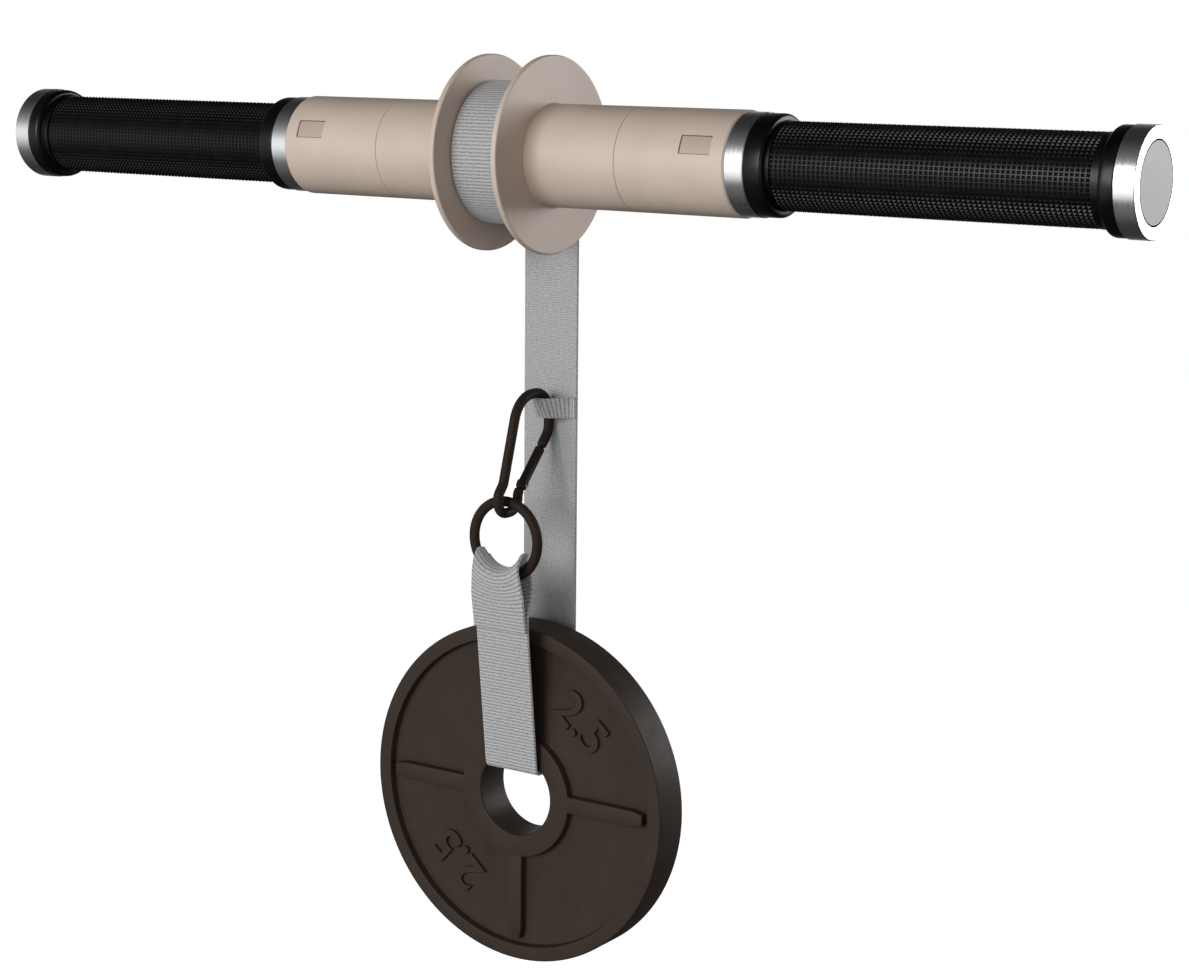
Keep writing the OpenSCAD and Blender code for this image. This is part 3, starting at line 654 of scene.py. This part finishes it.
def make_grip(side):
    """Rubber grip of one side, -1 or 1: its moulded body and the knurl on it."""
    node = "right_grip" if side > 0 else "left_grip"
    low, high = mm_box(node)
    inner, outer = sorted((abs(low.x), abs(high.x)))
    top = high.z
    root = KNURL_R - KNURL_DEPTH
    x0, x1 = inner + SHOULDER_W, outer - FLARE_W
    outline = [(inner, GRIP_BORE_R), (inner, top - GRIP_EDGE)]
    outline += arc(inner + GRIP_EDGE, top - GRIP_EDGE, GRIP_EDGE, 180, 90, 4)[1:]
    outline += arc(x0 - SHOULDER_ROUND, top - SHOULDER_ROUND, SHOULDER_ROUND, 90, 0, 8)
    outline += [(x0, KNURL_R + COLLAR_CHAMFER), (x0 + COLLAR_CHAMFER, KNURL_R)]
    outline += [(x0 + COLLAR_IN, KNURL_R), (x0 + COLLAR_IN, root)]
    outline += [(x1 - COLLAR_OUT, root), (x1 - COLLAR_OUT, KNURL_R), (x1 - FLARE_STEP, KNURL_R)]
    outline += arc(x1 + FLARE_ROUND, top - FLARE_ROUND, FLARE_ROUND, 180, 90, 8)
    outline += arc(outer - GRIP_EDGE, top - GRIP_EDGE, GRIP_EDGE, 90, 0, 4) + [(outer, GRIP_BORE_R)]
    body = lathe(node + "_rubber", outline, lambda x, r, c, s: (side * x, r * c, r * s), RUBBER, 96)
    sharp_edges(body, 40)
    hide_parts(node)
    k0, k1 = x0 + COLLAR_IN, x1 - COLLAR_OUT
    pitch = (k1 - k0) / KNURL_ROWS
    seed = piece(node + "_knurl", [(0, 0, 0)], [], RUBBER)
    first = side * (k0 + pitch / 2) if side > 0 else -(k1 - pitch / 2)
    knurl = grown(
        seed, KNURL, Rows=KNURL_ROWS, Around=KNURL_AROUND, Start=first * MM, Length=(k1 - k0 - pitch) * MM,
        **{"Root radius": (root - KNURL_SINK) * MM}, Height=(KNURL_DEPTH + KNURL_SINK) * MM,
        Base=(pitch * MM, 2 * math.pi * root / KNURL_AROUND * MM, 1), Finish=RUBBER,
    )
    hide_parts(node)
    for made in (body, knurl):
        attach(made, "roller")


# The strap: one length of webbing, wound from inside out, then hanging
STRAP_T = 1.4
HUB_R = 20.0
WRAP_PITCH = 1.44
# The strap leaves the roll this many degrees below the level of the bar, and bends down with this radius
LEAVE = 25
DROP_BEND = 40
# Heights where the hanging strap's pieces meet, behind the plate
JOINTS_Z = (-188, -202, -216)
# Play between the hub and the innermost turn
HUB_GAP = 0.15
WRAP_STEPS = 120
# Length of the mesh's cells along the strap, and how much narrower and thinner it is than its solid
CELL = 0.62
EDGE_TRIM = 0.6
FACE_TRIM = 0.06


def make_strap():
    """The wound and hanging strap and its two short stretches behind the plate. Gives their length."""
    low, high = mm_box("strap_winding")
    width = high.x - low.x
    outer_mid = high.z - STRAP_T / 2
    inner_mid = HUB_R + HUB_GAP + STRAP_T / 2
    turns = (outer_mid - inner_mid) / WRAP_PITCH
    steps = int(turns * WRAP_STEPS)
    path = []
    for i in range(steps + 1):
        back = turns * (1 - i / steps)
        a = -math.radians(LEAVE) + 2 * math.pi * back
        r = outer_mid - WRAP_PITCH * back
        path.append(Vector((r * math.cos(a), r * math.sin(a))))
    hang_low, hang_high = mm_box("strap_tail")
    hang_y = (hang_low.y + hang_high.y) / 2
    bend = arc(
        (outer_mid + DROP_BEND) * math.cos(math.radians(LEAVE)),
        -(outer_mid + DROP_BEND) * math.sin(math.radians(LEAVE)), DROP_BEND, 180 - LEAVE, 180, 8,
    )
    shift = hang_y - bend[-1][0]
    path += [Vector((x + shift * i / 8, z)) for i, (x, z) in enumerate(bend)][1:]
    path.append(Vector((hang_y, JOINTS_Z[0])))
    path = resampled(path, CELL)
    length = sum((b - a).length for a, b in zip(path, path[1:]))
    made = strap("strap", flat_rows(path, width - EDGE_TRIM), STRAP_T - FACE_TRIM, plain_back=True)
    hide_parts("strap_core", "strap_winding", "strap_drop", "strap_tail")
    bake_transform(made)
    # Behind the plate the strap goes on in two short straight pieces, cut at the heights where the hook, the
    # ring and the strap's end swing
    for k, (upper, lower) in enumerate((("strap_end", "snap_hook"), ("snap_hook", "ring"))):
        ends = [Vector((hang_y, JOINTS_Z[k + j])) for j in (0, 1)]
        run = resampled(ends, CELL)
        made = strap(
            f"strap_back_{k}", flat_rows(run, width - EDGE_TRIM), STRAP_T - FACE_TRIM,
            start=length - ends[0].y + JOINTS_Z[0], plain_back=True,
        )
        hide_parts("strap_tail")
        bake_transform(made)
    return length + JOINTS_Z[0] - JOINTS_Z[2]


BAND_T = 1.1
BAND_LEFT = 4.5
# The tunnel that the hook's wire runs in: its sides, and its depth at the band's bottom and top
TUNNEL = (-1.45, 3.45)
TUNNEL_DEPTH = (5.4, 9.7)
# The band's corners, the length of its cells, and how far its long edges and its ends lie inside its solid
BAND_RADII = [0, 0.6, 1.4, 1.4, 2, 0]
BAND_CELL = 0.4
BAND_INSET = 0.2
BAND_END = 0.3
# How far its stitches lie from its left, right and long edges
BAND_STITCH = (0.9, 1.3, 0.8)


def make_band():
    """The narrow band across the strap's front, which stands off it round the snap hook's wire. Its
    front leans forwards at the top, where the wire bends away."""
    low, high = mm_box("strap_band")
    middle = sum(TUNNEL_DEPTH) / 2 + BAND_T / 2
    path = [
        (-BAND_LEFT + BAND_END, BAND_T / 2), (-BAND_LEFT + 1.2, BAND_T / 2), (TUNNEL[0] - 0.4, middle),
        (TUNNEL[1] + 0.4, middle), (high.x - 1.8, BAND_T / 2), (high.x - BAND_END, BAND_T / 2),
    ]
    path = resampled(rounded(path, BAND_RADII), BAND_CELL)
    rows = []
    for p in path:
        row = []
        for j in range(9):
            up = j / 8
            deep = TUNNEL_DEPTH[0] + (TUNNEL_DEPTH[1] - TUNNEL_DEPTH[0]) * up + BAND_T / 2
            share = (p.y - BAND_T / 2) / (middle - BAND_T / 2)
            back = high.y - BAND_T / 2 - share * (deep - BAND_T / 2)
            row.append((p.x, back, low.z + BAND_INSET + (high.z - low.z - 2 * BAND_INSET) * up))
        rows.append(row)
    made = strap("hook_band", rows, BAND_T, 1.2)
    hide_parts("strap_band")
    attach(made, "strap_end")
    face = high.y - BAND_T - 0.02
    left, right, edge = BAND_STITCH
    for side, x in (("left", low.x + left), ("right", high.x - right)):
        ends = [(x, face, low.z + edge), (x, face, high.z - edge)]
        stitch_line("band_stitches_" + side, ends, "strap_end")


# The snap hook: its wire's path as [back, up] from the middle of the wire in the sewn band
HOOK_WIRE = 3.9
HOOK_PATH = [
    (-5.2, -15.4), (0, -9.6), (0, 6.2), (-20.1, 6.2), (-29.9, -26.6), (-33.3, -30.7), (-33.3, -38.2),
    (-20.5, -38.2), (-20.5, -31.7), (-19.5, -30.6),
]
HOOK_RADII = [0, 6, 9, 12, 3, 3, 5.2, 5.2, 2.8, 0]
HOOK_CELL = 0.6
# How far the wire's ends take to come to full width: the rounded nose and the foot under the gate's pin
HOOK_NOSE = 1.6
HOOK_FOOT = 0.5
# The tongue in the gate: its length, half its width and its thickness
TONGUE = (3.4, 1.5, 1.2)
# The gate: its pin and its free end from the same middle, and the radii of its rod and its collar
HINGE = (-17.75, -28.75)
GATE_END = (-5.75, -16.0)
GATE_R = 1.95
KNUCKLE_R = 2.35


def hook_frame():
    """Where the hook's path is measured from: x, y, z in millimetres."""
    low, high = mm_box("hook_body")
    top = max(z for _, z in HOOK_PATH)
    back = max(y for y, _ in HOOK_PATH)
    return Vector(((low.x + high.x) / 2, high.y - HOOK_WIRE / 2 - back, high.z - HOOK_WIRE / 2 - top))


def make_hook():
    """The hook's wire, the tongue that its gate turns on, and the gate."""
    at = hook_frame()
    path = resampled(rounded(HOOK_PATH, HOOK_RADII, 10), HOOK_CELL)
    centres = [Vector((at.x, at.y + p.x, at.z + p.y)) for p in path]
    count = len(centres)
    radii = []
    for i in range(count):
        nose = min(1, (i + 0.6) * HOOK_CELL / HOOK_NOSE)
        tail = min(1, (count - i - 0.4) * HOOK_CELL / HOOK_FOOT)
        radii.append(HOOK_WIRE / 2 * math.sqrt(1 - (1 - nose) ** 2) * (0.9 + 0.1 * tail))
    body = tube("hook_wire", centres, radii, COAT_PAINTED_SHADE)
    hinge = Vector((at.x, at.y + HINGE[0], at.z + HINGE[1]))
    along = (Vector((0, GATE_END[0], GATE_END[1])) - Vector((0, HINGE[0], HINGE[1]))).normalized()
    tongue = flat_bar("hook_tongue", hinge - along * TONGUE[0], hinge, *TONGUE[1:])
    for made in (body, tongue):
        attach(made, "snap_hook")
        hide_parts("hook_body")
    make_gate(at, hinge, along)


def flat_bar(name, start, end, half_wide, thick):
    """A flat tongue with a round end, in the hook's plane."""
    along = (end - start).normalized()
    side = Vector((1, 0, 0)).cross(along)
    ring = [start + side * half_wide, start - side * half_wide]
    for k in range(13):
        a = math.radians(-90 + 15 * k)
        ring.append(end + along * half_wide * math.cos(a) + side * half_wide * math.sin(a))
    count = len(ring)
    points = [p + Vector((s * thick / 2, 0, 0)) for s in (-1, 1) for p in ring]
    faces = ring_faces(count, 0, count) + [tuple(range(count)), tuple(range(count, 2 * count))]
    return sharp_edges(outward(piece(name, points, faces, COAT_PAINTED_SHADE)), 30)


def make_gate(at, hinge, along):
    """The gate's rod, with the collar that takes the hinge at its lower end, rounded to swing clear."""
    tip = Vector((at.x, at.y + GATE_END[0], at.z + GATE_END[1]))
    length = (tip - hinge).length
    profile = [
        (-2.2, 0.8), (-1.95, 1.3), (-1.6, 1.7), (-1.1, 2.05), (-0.8, 2.2), (-0.6, KNUCKLE_R - 0.35),
        (0, KNUCKLE_R - 0.35), (0.15, KNUCKLE_R), (1.1, KNUCKLE_R), (1.4, KNUCKLE_R - 0.2), (1.7, GATE_R),
        (length - 0.25, GATE_R), (length - 0.05, GATE_R - 0.12), (length, GATE_R - 0.35),
    ]
    rod = tube("gate_rod", [hinge + along * a for a, _ in profile], [r for _, r in profile], COAT_PAINTED_SHADE)
    sharp_edges(rod, 35)
    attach(rod, "gate")
    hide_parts("hook_gate")


# Steps round the ring
RING_STEPS = 120


def make_ring():
    """The load ring's round wire."""
    low, high = mm_box("load_ring")
    wire = (high.y - low.y) / 2
    r = (high.x - low.x) / 2 - wire
    mid = (low + high) / 2
    turns = [2 * math.pi * i / RING_STEPS for i in range(RING_STEPS)]
    centres = [(mid.x + r * math.cos(a), mid.y, mid.z + r * math.sin(a)) for a in turns]
    made = tube("ring_wire", centres, [wire] * RING_STEPS, COAT_PAINTED_SHADE, closed=True)
    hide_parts("load_ring")
    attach(made, "ring")


# The strap's end: in behind the plate, forwards through its hole, up to the ring and over it
END_T = 1.35
PLY_GAP = 0.1
# The fold over the ring: how far forwards its front and its sewn end lie, and its top over the ring's wire
FOLD_FRONT = 16.2
FOLD_END = 12.2
FOLD_TOP = 2.6
FOLD_RADII = [0, 1.3, 2.4, 14, 5, 6, 2.6, 3.6, 0]
FOLD_CELL = 0.6
# Its share of its solid's width, and by how much of that the ring draws it in
FOLD_SHARE = 0.985
SADDLE_NARROW = 0.12
# Its stitches' distance above the plate and from its edges
FOLD_STITCH_UP = 2.6
FOLD_STITCH_IN = 1.6
# How far under the ring's wire the strap stays bowed, and how far it stays drawn in
BOW_REACH = 17
NARROW_REACH = 8


def make_strap_end(start):
    """The strap's own end, folded over the ring. start is where its weave goes on from."""
    ring_low, ring_high = mm_box("load_ring")
    plate_low, plate_high = mm_box("weight_plate")
    tail_low, tail_high = mm_box("strap_tail")
    end_low, end_high = mm_box("loop_strap")
    width = end_high.x - end_low.x
    ring_z = (ring_low.z + ring_high.z) / 2
    ring_y = (ring_low.y + ring_high.y) / 2
    wire = (ring_high.y - ring_low.y) / 2
    wire_z = ring_low.z + wire
    wrap = wire + 1
    under = plate_high.z + 0.9
    bore_z = end_low.z + 0.7
    ply = -FOLD_END + END_T + PLY_GAP
    hang_y = (tail_low.y + tail_high.y) / 2
    path = [
        (hang_y, JOINTS_Z[2]), (plate_high.y + 1, bore_z), (plate_low.y - 1.8, bore_z),
        (ply, under), (ply, under + 7), (ring_y + wrap, wire_z - 4), (ring_y + wrap, wire_z + FOLD_TOP + 0.8),
        (-FOLD_FRONT, wire_z + FOLD_TOP + 1.2), (-FOLD_END, under - 0.3),
    ]
    path = resampled(rounded(path, FOLD_RADII, 7), FOLD_CELL)
    wide = 16
    rows = []
    for p in path:
        below = ring_z - p.y
        under_wire = max(0, below - (ring_z - wire_z))
        fade = min(1, under_wire / BOW_REACH)
        bowed = 1 - fade * fade * (3 - 2 * fade)
        narrow = SADDLE_NARROW * max(0, 1 - under_wire / NARROW_REACH) * (2 if p.x > ring_y else 1)
        row = []
        for j in range(wide + 1):
            x = width * FOLD_SHARE * (j / wide - 0.5) * (1 - narrow)
            rise = below - math.sqrt(max(below * below - x * x, 0))
            row.append((x, p.x, p.y + rise * bowed))
        rows.append(row)
    made = strap("strap_end_fold", rows, END_T, start=start)
    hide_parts("loop_strap")
    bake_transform(made)
    face = -FOLD_END - END_T / 2 - 0.25
    reach = width / 2 - FOLD_STITCH_IN
    ends = [(x, face, under + FOLD_STITCH_UP) for x in (-reach, reach)]
    stitch_line("fold_stitches", ends, "loop")


# The plate
PLATE_BORE_R = 16.8
RIM_W = 5.8
FIELD_DEPTH = 3.2
HUB_OUT = 25.6
RIB_W = 6.6
RIB_END_W = 4.6
RIB_TAPER = 5
RIB_END_GAP = 2.6
NUMERAL_H = 15.5
NUMERAL_RISE = 1.1
# The font's size for a digit of height 1, and the strokes' rounding and thickening
FONT_SIZE = 1.35
NUMERAL_ROUND = 0.25
NUMERAL_BOLD = 0.1
NUMERALS = [("2.5", 48), ("2.5", 228)]
# Roundings of the bore's rims, the outer edges and the steps down to the field, and the steps' slant
BORE_ROUND = 0.8
EDGE_ROUND = 0.6
STEP_ROUND = 0.4
DRAFT = 0.3
# The ribs' tops lie this far under the hub's face, their feet this far inside the casting, and their
# inner ends this far inside the hub
RIB_SINK = 0.03
RIB_FOOT = 0.6
RIB_IN = 1.5


def make_plate():
    """The plate's casting, its ribs and its numbers."""
    low, high = mm_box("weight_plate")
    radius = (high.x - low.x) / 2
    thick = high.y - low.y
    centre = Vector(((low.x + high.x) / 2, low.y, (low.z + high.z) / 2))
    rim_in = radius - RIM_W
    outline = arc(PLATE_BORE_R + BORE_ROUND, BORE_ROUND, BORE_ROUND, 180, 270, 4)
    outline += arc(HUB_OUT - STEP_ROUND, STEP_ROUND, STEP_ROUND, 270, 360, 5)
    outline += arc(HUB_OUT + DRAFT + STEP_ROUND, FIELD_DEPTH - STEP_ROUND, STEP_ROUND, 180, 90, 5)
    outline += arc(rim_in - DRAFT - STEP_ROUND, FIELD_DEPTH - STEP_ROUND, STEP_ROUND, 90, 0, 5)
    outline += arc(rim_in + STEP_ROUND, STEP_ROUND, STEP_ROUND, 180, 270, 5)
    outline += arc(radius - EDGE_ROUND, EDGE_ROUND, EDGE_ROUND, 270, 360, 6)
    outline += arc(radius - EDGE_ROUND, thick - EDGE_ROUND, EDGE_ROUND, 0, 90, 6)
    outline += arc(PLATE_BORE_R + BORE_ROUND, thick - BORE_ROUND, BORE_ROUND, 90, 180, 4)
    casting = lathe(
        "plate_casting", outline,
        lambda r, y, c, s: (centre.x + r * c, centre.y + y, centre.z + r * s), IRON, 160,
    )
    made = [sharp_edges(casting, 60)]
    r0, r1 = HUB_OUT - RIB_IN, radius - RIM_W - RIB_END_GAP
    shape = [
        (r0, -RIB_W / 2), (r1 - RIB_TAPER, -RIB_W / 2), (r1, -RIB_END_W / 2), (r1, RIB_END_W / 2),
        (r1 - RIB_TAPER, RIB_W / 2), (r0, RIB_W / 2),
    ]
    for k in range(4):
        a = math.radians(90 * k)
        points = [
            centre + Vector((x * math.cos(a) - z * math.sin(a), y, x * math.sin(a) + z * math.cos(a)))
            for y in (RIB_SINK, FIELD_DEPTH + RIB_FOOT) for x, z in shape
        ]
        faces = ring_faces(6, 0, 6) + [tuple(range(6)), tuple(range(6, 12))]
        rib = outward(piece(f"plate_rib_{k}", points, faces, IRON))
        bevel = rib.modifiers.new("round", "BEVEL")
        bevel.width = STEP_ROUND * MM
        bevel.segments = 3
        made.append(sharp_edges(applied(rib), 60))
    for n, (text, degrees) in enumerate(NUMERALS):
        made.append(numeral(f"plate_number_{n}", text, centre, (HUB_OUT + rim_in) / 2, degrees))
    for one in made:
        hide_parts("weight_plate")
        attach(one, "plate")


def numeral(name, text, centre, radius, degrees):
    """A raised plain number on the sunk field, its top towards the rim."""
    curve = bpy.data.curves.new(name, "FONT")
    curve.body = text
    curve.align_x = "CENTER"
    curve.align_y = "CENTER"
    curve.size = NUMERAL_H * FONT_SIZE
    curve.extrude = NUMERAL_RISE / 2
    curve.bevel_depth = NUMERAL_ROUND
    curve.bevel_resolution = 2
    curve.offset = NUMERAL_BOLD
    made = bpy.data.objects.new(name, curve)
    bpy.context.collection.objects.link(made)
    bpy.context.view_layer.update()
    mesh = bpy.data.meshes.new_from_object(made.evaluated_get(bpy.context.evaluated_depsgraph_get()))
    bpy.data.objects.remove(made)
    # Text lies in XY facing +Z: stand it in XZ facing -Y, then turn it round the plate
    stand = Matrix.Rotation(math.pi / 2, 4, "X")
    spin = Matrix.Rotation(math.radians(90 - degrees), 4, "Y")
    out = Matrix.Translation((0, 0, radius))
    place = Matrix.Translation(centre + Vector((0, FIELD_DEPTH - NUMERAL_RISE / 2, 0)))
    mesh.transform(Matrix.Scale(MM, 4) @ place @ spin @ out @ stand)
    mesh.materials.clear()
    mesh.materials.append(IRON)
    made = bpy.data.objects.new(name, mesh)
    bpy.context.collection.objects.link(made)
    return sharp_edges(made, 35)


# Studio, in metres
FLOOR_Z = -1.12
FLOOR_HALF = 9
# Brightness of the surroundings by how far up, and by how far back, a direction points, from -1 to 1
WORLD_BY_HEIGHT = [
    (-1, 0.16), (-0.5, 0.12), (-0.27, 0.6), (-0.1, 1), (0.12, 1), (0.35, 0.3), (0.6, 0.1), (1, 0.1),
]
WORLD_BY_DEPTH = [(-1, 1), (-0.5, 0.9), (0, 0.22), (0.6, 0.25), (0.85, 0.6), (1, 0.6)]
WORLD_STRENGTH = 1.1
# Soft lights: name, place, what it points at, width in metres, power in watts
LIGHTS = [
    ("key_light", (-0.25, -1.9, 0.45), (0, 0, -0.05), 1.0, 24.5),
    ("under_light", (-0.5, -1.5, -0.6), (0, 0, -0.05), 0.7, 1.2),
    ("rim_light", (1.2, 1.7, 0.35), (0.1, 0, -0.1), 1.0, 18),
]


def make_studio():
    """The pale floor, the surroundings and the soft lights."""
    mesh = bpy.data.meshes.new("floor")
    corners = [(x * FLOOR_HALF, y * FLOOR_HALF, FLOOR_Z) for x, y in ((-1, -1), (1, -1), (1, 1), (-1, 1))]
    mesh.from_pydata(corners, [], [(0, 1, 2, 3)])
    floor = bpy.data.objects.new("floor", mesh)
    bpy.context.collection.objects.link(floor)
    paint, _, shader = new_material("pale_floor", Roughness=0.9)
    shader.inputs["Base Color"].default_value = hex_colour("F4F4F4")
    # Overexposed, like the white that the object stands against, but it casts none of that on the object
    shader.inputs["Emission Color"].default_value = (1, 1, 1, 1)
    shader.inputs["Emission Strength"].default_value = 0.9
    floor.visible_diffuse = False
    floor.visible_glossy = False
    mesh.materials.append(paint)
    world = bpy.data.worlds.new("studio")
    bpy.context.scene.world = world
    world.use_nodes = True
    tree = world.node_tree
    tree.nodes.clear()
    ray = add_node(tree, "ShaderNodeLightPath")
    coords = add_node(tree, "ShaderNodeTexCoord")
    split = add_node(tree, "ShaderNodeSeparateXYZ", [(coords.outputs["Generated"], 0)])
    # A bright band round the horizon, between a dim ceiling and a dark floor
    height = tone_ramp(tree, split.outputs["Z"], WORLD_BY_HEIGHT)
    # The band is brightest in front and dim at the sides
    turn = tone_ramp(tree, split.outputs["Y"], WORLD_BY_DEPTH)
    both = add_node(tree, "ShaderNodeMath", [(height, 0), (turn, 1)], operation="MULTIPLY")
    lit = add_node(tree, "ShaderNodeBackground", [(both.outputs[0], "Color")], in_Strength=WORLD_STRENGTH)
    seen = add_node(tree, "ShaderNodeBackground", in_Color=(1, 1, 1, 1), in_Strength=1.0)
    mix = add_node(tree, "ShaderNodeMixShader", [(ray.outputs["Is Camera Ray"], 0)])
    tree.links.new(lit.outputs[0], mix.inputs[1])
    tree.links.new(seen.outputs[0], mix.inputs[2])
    out = add_node(tree, "ShaderNodeOutputWorld")
    tree.links.new(mix.outputs[0], out.inputs[0])
    for light in LIGHTS:
        softbox(*light)
    bpy.context.scene.view_settings.view_transform = "Standard"


def tone_ramp(tree, value, stops):
    """Grey that follows a value from -1 to 1 through these stops."""
    share = add_node(
        tree, "ShaderNodeMapRange", [(value, "Value")], in_1=-1.0, in_2=1.0, in_3=0.0, in_4=1.0
    )
    ramp = add_node(tree, "ShaderNodeValToRGB", [(share.outputs["Result"], "Fac")])
    elements = ramp.color_ramp.elements
    for k, (at, tone) in enumerate(stops):
        stop = elements[k] if k < 2 else elements.new(1.0)
        stop.position = (at + 1) / 2
        stop.color = (tone, tone, tone, 1)
    return ramp.outputs["Color"]


def softbox(name, at, target, size, power):
    """A square area light at one place that points at another."""
    data = bpy.data.lights.new(name, "AREA")
    data.size = size
    data.energy = power
    light = bpy.data.objects.new(name, data)
    light.location = at
    light.rotation_euler = (Vector(target) - Vector(at)).to_track_quat("-Z", "Y").to_euler()
    bpy.context.collection.objects.link(light)


make_camera()
for finish, nodes in FINISHES.items():
    dress(nodes, finish)
for side in (-1, 1):
    make_grip(side)
strap_length = make_strap()
make_band()
make_hook()
make_ring()
make_strap_end(strap_length)
make_plate()
make_studio()
